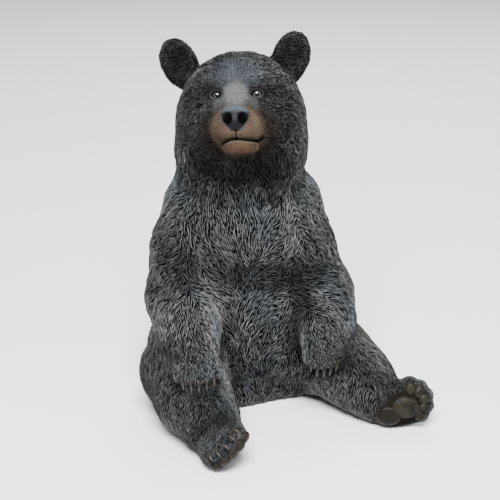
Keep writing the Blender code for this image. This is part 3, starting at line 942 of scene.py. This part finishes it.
# Dry-brushing: a nearly dry brush leaves paint on what stands proud, in patches and with broken edges.
dry_brush = bpy.data.node_groups.new("dry_brush", "ShaderNodeTree")
for side, kinds in (
    ("INPUT", {"Wash": "Color", "Brush": "Color", "Ridge": "Float"}),
    ("OUTPUT", {"Color": "Color", "Roughness": "Float", "Height": "Float"}),
):
    for name, kind in kinds.items():
        dry_brush.interface.new_socket(name, in_out=side, socket_type="NodeSocket" + kind)
given = dry_brush.nodes.new("NodeGroupInput").outputs
put = dry_brush.nodes.new("NodeGroupOutput").inputs
place_of = place_in(dry_brush)
patches = noise(dry_brush, place_of, 55, 3)
specks = noise(dry_brush, place_of, 900, 2, 0.6)
caught = added(dry_brush, specks, 0.3, added(dry_brush, patches, 0.45, given["Ridge"]))
first, rest = ranged(dry_brush, caught, 0.48, 0.83, 0.0, 0.3), ranged(dry_brush, caught, 0.92, 1.34, 0.0, 0.7)
share = node(dry_brush, "Math", {0: first, 1: rest}, operation="ADD")[0]
dry_brush.links.new(colour_mix(dry_brush, share, given["Wash"], given["Brush"]), put["Color"])
dry_brush.links.new(ranged(dry_brush, share, 0, 1, 0.5, 0.62), put["Roughness"])
dry_brush.links.new(specks, put["Height"])


STORED = (("Wash", "Color"), ("Brush", "Color"), ("Ridge", "Fac"))


def brushed_paint(name, shine):
    """Paint whose two colours and ridges come from the piece's own attributes."""
    material, tree, shader = new_paint(name, shine)
    kept = {name: stored(tree, name.lower(), output) for name, output in STORED}
    put = node(tree, "Group", kept, node_tree=dry_brush)
    finished(tree, shader, put["Color"], put["Roughness"], put["Height"], 0.5)
    return material


coat_paint = brushed_paint("coat_paint", 0.1)
skin_paint = brushed_paint("skin_paint", 0.0)


def dressed(piece, material):
    """Gives a piece its material, smooth shading and its body."""
    piece.data.materials.append(material)
    piece.data.shade_smooth()
    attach(piece, "root")
    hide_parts("bear")


set_corners(casting.data, skin_points)
points, normals = corners(casting.data)
wash, brush = painted(points, normals)
store(casting.data, "wash", wash)
store(casting.data, "brush", brush)
store(casting.data, "ridge", 1.1 * np.maximum(smooth_step(hair_length(points), 3.6, 3.1), bare(points)) - 0.3)
set_corners(casting.data, points * STEP + place)
dressed(casting, skin_paint)


def copies(faces, count, points):
    """The triangles of one form once more for each of count forms with so many points each."""
    return (np.arange(count)[:, None, None] * points + faces).reshape(-1, 3)


own_roots = SKULL.own(roots)
on_head = norms(own_roots) < 100
face = on_head & (own_roots[:, 1] > 12)
behind = ~on_head & (roots[:, 1] > 58)
low_down = ~on_head & ~behind & (roots[:, 2] < 100)
front = ~on_head & ~behind & ~low_down
right = roots[:, 0] < 8
for name, chosen in (
    ("coat_face", face),
    ("coat_crown", on_head & ~face),
    ("coat_back", behind),
    ("coat_right_leg", low_down & right),
    ("coat_left_leg", low_down & ~right),
    ("coat_chest", front),
):
    count = int(chosen.sum())
    faces = copies(HAIR_FACES, count, POINTS_OF_A_HAIR)
    piece = piece_of(name, mesh_of(name, hairs[chosen].reshape(-1, 3) * STEP + place, faces))
    wash, brush = painted(roots[chosen], root_ups[chosen])
    brush *= rng.uniform(0.7, 1.3, (count, 1))
    store(piece.data, "wash", np.repeat(wash, POINTS_OF_A_HAIR, axis=0))
    store(piece.data, "brush", np.repeat(brush, POINTS_OF_A_HAIR, axis=0))
    off_muzzle = norms(own_roots[chosen] - (0, 60, -10))
    sparing = 0.2 * smooth_step(off_muzzle, 34, 58) * on_head[chosen]
    tone = rng.normal(0, 0.14, (count, 1)) - sparing[:, None]
    store(piece.data, "ridge", (np.array(RIDGE) + tone).ravel())
    side = math.ceil(math.sqrt(count))
    k = np.arange(count)
    spots = (np.stack((k % side, k // side), axis=1)[:, None, None] + HAIR_CELL) / side
    piece.data.uv_layers.new(name="OFBake").data.foreach_set("uv", spots.astype(np.float32).ravel())
    dressed(piece, coat_paint)


# The eyes.
# Plain balls of the casting between the lids. Each has a pale iris and a black pupil under clear varnish.
EYE_ROWS = EYE_AROUND = 40
PUPIL, IRIS = 19, 29  # degrees from the middle of the pupil to its edge and to the rim of the iris
gaze = SKULL.turn @ (0.09, -1.0, -0.04)

eye_paint, tree, shader = new_paint("eye_paint", 0.1)
place_of = place_in(tree)
angle = added(tree, noise(tree, place_of, 1500, 2), 5.0, stored(tree, "angle"))
cloud = noise(tree, place_of, 900, 3)
iris = colour_mix(tree, ranged(tree, cloud, 0.35, 0.65), (0.014, 0.014, 0.013, 1), (0.062, 0.064, 0.06, 1))
iris = colour_mix(tree, ranged(tree, angle, PUPIL + 1, PUPIL + 4), (0.002, 0.002, 0.002, 1), iris)
iris = colour_mix(tree, ranged(tree, angle, IRIS, IRIS + 5), iris, (0.012, 0.01, 0.009, 1))
tree.links.new(iris, shader.inputs["Base Color"])
tree.links.new(ranged(tree, cloud, 0.3, 0.7, 0.06, 0.14), shader.inputs["Roughness"])
shader.inputs["Coat Weight"].default_value = 0.7

turn = np.array(Vector(gaze).to_track_quat("Z", "Y").to_matrix())
for name, side in (("right_eye", -1), ("left_eye", 1)):
    grid = ball_grid(EYE_ROWS, EYE_AROUND)
    centre = SKULL.spot(EYE_MIDDLE + side * EYE_APART, EYE_FRONT - EYE_SIZE, EYE_UP)
    places = centre + (grid * EYE_SIZE) @ turn.T
    eye = piece_of(name, mesh_of(name, places * STEP + place, ring_faces(EYE_ROWS, EYE_AROUND)))
    store(eye.data, "angle", np.degrees(np.arccos(np.clip(grid[:, 2], -1, 1))))
    dressed(eye, eye_paint)


# The claws.
# Short curved horns on every toe, five to a paw, cast in one with the bear. They are painted brown grey and
# rubbed tan towards the tips.
CLAW_ROWS, CLAW_AROUND = 11, 10
CLAW_THICK, FOOT_CLAW_THICK = 3.1, 2.9


def claw(paw, root, turn, length, thick, droop):
    """A curved cone, deeper than wide: rings of radius thick (1 - s)^0.6 square to an arc that leaves the
    root by the turn and bends down by droop degrees over its length, s going from 0 to 1."""
    s = np.linspace(0, 0.97, CLAW_ROWS)[:, None]
    u = np.linspace(0, 2 * math.pi, CLAW_AROUND, endpoint=False)[None, :]
    droop = math.radians(droop)
    bend = droop * s
    sine, cosine = aimed(turn)
    ahead, aside = np.array((sine, cosine, 0)), np.array((cosine, -sine, 0))
    up = np.array((0.0, 0.0, 1.0))
    run, fall = np.sin(bend) * length / droop, (1 - np.cos(bend)) * length / droop
    middle = root + run[..., None] * ahead - fall[..., None] * up
    lift = np.sin(bend)[..., None] * ahead + np.cos(bend)[..., None] * up
    size = thick * (1 - s) ** 0.6
    rings = middle + (size * np.cos(u) * 0.7)[..., None] * aside - (size * np.sin(u))[..., None] * lift
    own = np.concatenate((middle[0], rings.reshape(-1, 3), middle[-1] + 0.4 * thick * (ahead - up) / 3))
    return paw.placed(own), np.concatenate(([0], np.repeat(s, CLAW_AROUND), [1]))


claws = []
for paw, size in HANDS:
    for i in range(-2, 3):
        claws.append(claw(paw, (i * 7.0 * size, 15.5 - 1.3 * i**2, 3.6), -3 * i, 13.0, CLAW_THICK, 56))
for (paw, size, splay), reach in zip(FEET, (12.5, 9.0)):
    for left, front, turn in toe_spots(size, splay):
        claws.append(claw(paw, (left, front + reach - 9.5, 7.4), turn * 0.4, reach, FOOT_CLAW_THICK, 62))

claw_paint, tree, shader = new_paint("claw_paint", 0.2)
streaks = noise(tree, place_in(tree), 420, 3)
worn = ranged(tree, added(tree, streaks, 0.7, stored(tree, "along")), 0.5, 1.15)
horn = colour_mix(tree, worn, (0.004, 0.0036, 0.0031, 1), (0.038, 0.032, 0.024, 1))
finished(tree, shader, horn, ranged(tree, streaks, 0.3, 0.7, 0.32, 0.48), streaks, 0.4)

faces = copies(ring_faces(CLAW_ROWS, CLAW_AROUND), len(claws), CLAW_ROWS * CLAW_AROUND + 2)
places = np.concatenate([points for points, _ in claws])
piece = piece_of("claws", mesh_of("claws", places * STEP + place, faces))
store(piece.data, "along", np.concatenate([along for _, along in claws]))
dressed(piece, claw_paint)


# The pads.
# Smooth cushions under the hind paws, cast in one with them: heel, ball and five toes. They are painted olive
# and russet brown and have a satin sheen.
PAD_AROUND = 28
PAD_RINGS = np.concatenate((np.sin(np.linspace(0.12, math.pi / 2, 12)), (0.97, 0.6)))  # shares of its size
PAD_START, PAD_ROUNDS, PAD_DROP = 22, 14, 6  # steps off the paw, rounds of dropping and steps at most in each
PAD_SUNK = 2.0  # steps that the last two rings lie under the skin
WRINKLE, WRINKLE_WAVE = 0.13, 2.9


def pad(paw, spot, sizes, turn, aim, rise):
    """A cushion: rings out from its middle are dropped on the skin against the aim, raised over it by
    rise (1 - r^3)^0.5 with fine wrinkles, and closed by two rings sunk under the skin."""
    u = np.linspace(0, 2 * math.pi, PAD_AROUND, endpoint=False)[None, :]
    r = PAD_RINGS[:, None]
    across, along = r * sizes[0] * np.cos(u), r * sizes[1] * np.sin(u)
    s, c = aimed(turn)
    flat = np.stack((across * c + along * s, -across * s + along * c), axis=-1).reshape(-1, 2)
    flat = np.concatenate(([[0, 0]], flat, [[0, 0]]))
    way = unit(np.array(aim, float))
    second = unit(np.cross(way, (1, 0, 0)))
    own = np.array(spot) + flat[:, :1] * (1, 0, 0) + flat[:, 1:] * -second + PAD_START * way
    points, out = paw.placed(own), (way * (1, -1, 1)) @ paw.turn.T
    field = Field(points, margin=34)
    for _ in range(PAD_ROUNDS):
        points = points - np.clip(field(points), -PAD_DROP, PAD_DROP)[:, None] * out
    share = np.concatenate(([0], np.repeat(PAD_RINGS[:-2], PAD_AROUND)))
    lift = rise * np.sqrt(1 - np.clip(share, 0, 1) ** 3) + WRINKLE * swirl(points[:len(share)], WRINKLE_WAVE)
    sunk = np.full(2 * PAD_AROUND + 1, -PAD_SUNK)
    points = points + np.concatenate((lift, sunk))[:, None] * field.normals(points)
    return np.maximum(points, (-np.inf, -np.inf, LOWEST))


pad_paint, tree, shader = new_paint("pad_paint", 0.08)
place_of = place_in(tree)
blotch, pores = noise(tree, place_of, 130, 3), noise(tree, place_of, 1100, 2)
worn = ranged(tree, blotch, 0.35, 0.65)
leather = colour_mix(tree, worn, (0.0045, 0.0042, 0.0036, 1), stored(tree, "tint", "Color"))
finished(tree, shader, leather, ranged(tree, blotch, 0.3, 0.7, 0.52, 0.38), pores, 0.5)

OLIVE, RUSSET = (0.0135, 0.0122, 0.008), (0.0072, 0.0047, 0.0029)
DOWN = (0, 0, -1)
for name, (paw, size, splay), tilt in (("right_pads", FEET[0], 0.9), ("left_pads", FEET[1], 0.15)):
    pads = [
        (pad(paw, (-0.6, -1.0, 0), (10.8 * size, 13.8 * size), -28, DOWN, 3.4), OLIVE),
        (pad(paw, (-3.5, -20, 0), (10.2 * size, 12.0 * size), -18, DOWN, 2.8), RUSSET),
    ]
    for left, front, turn in toe_spots(size, splay):
        spot = (0.88 * left, (0.86 + 0.12 * tilt) * front, 0)
        sine, cosine = aimed(turn)
        aim = (sine * tilt, cosine * tilt, -1)
        pads.append((pad(paw, spot, (5.2 * size, 6.2 * size), turn, aim, 2.8), OLIVE))
    pad_points = len(pads[0][0])
    faces = copies(ring_faces(len(PAD_RINGS), PAD_AROUND), len(pads), pad_points)
    places = np.concatenate([points for points, _ in pads])
    piece = piece_of(name, mesh_of(name, places * STEP + place, faces))
    store(piece.data, "tint", np.concatenate([np.tile(tint, (pad_points, 1)) for _, tint in pads]))
    dressed(piece, pad_paint)


# The studio.
# A pale floor that runs out of sight, one soft light above the camera and a little to its left, a weaker one
# to the right, a third behind the bear, and an even sky.
AZIMUTH, ELEVATION, FAR_OFF = math.radians(-12), math.radians(18), 1.6
MIDDLE_UP = 0.17  # metres over the floor that camera and lights look at
VIEW_WIDE = 0.49  # metres across the picture at the bear
SENSOR = 36  # millimetres across the film
FLOOR_HALF = 40  # metres
camera = piece_of("camera", bpy.data.cameras.new("camera"))
bpy.context.scene.camera = camera
target = Vector((place[0], place[1], MIDDLE_UP))
level = math.cos(ELEVATION)
back = Vector((math.sin(AZIMUTH) * level, -math.cos(AZIMUTH) * level, math.sin(ELEVATION)))
camera.location = target + back * FAR_OFF
camera.rotation_euler = back.to_track_quat("Z", "Y").to_euler()
camera.data.sensor_width = SENSOR
camera.data.lens = SENSOR * FAR_OFF / VIEW_WIDE
corners_of_floor = FLOOR_HALF * np.array([(-1, -1, 0), (1, -1, 0), (1, 1, 0), (-1, 1, 0)], float)
floor = piece_of("floor", mesh_of("floor", corners_of_floor, np.array([(0, 1, 2), (0, 2, 3)])))
floor_paint, tree, shader = new_paint("floor_paint", 0.5)
shader.inputs["Base Color"].default_value = (0.9, 0.9, 0.9, 1)
shader.inputs["Roughness"].default_value = 0.9
floor.data.materials.append(floor_paint)
floor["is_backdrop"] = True
for name, spot, size, power in (
    ("key", (-0.5, -1.7, 2.1), 1.2, 285),
    ("fill", (1.5, -1.8, 0.9), 1.4, 22),
    ("rim", (0.6, 1.6, 1.8), 1.4, 45),
):
    light = bpy.data.lights.new(name, "AREA")
    light.energy, light.size = power, size
    lamp = piece_of(name, light)
    lamp.location = spot
    lamp.rotation_euler = (Vector(spot) - Vector((0, 0, MIDDLE_UP))).to_track_quat("Z", "Y").to_euler()
world = bpy.data.worlds.new("studio")
bpy.context.scene.world = world
world.use_nodes = True
sky = world.node_tree.nodes["Background"]
sky.inputs["Color"].default_value = (1, 1, 1, 1)
sky.inputs["Strength"].default_value = 0.36

boxes = [[list(corner) for corner in box] for box in (cad_box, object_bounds())]
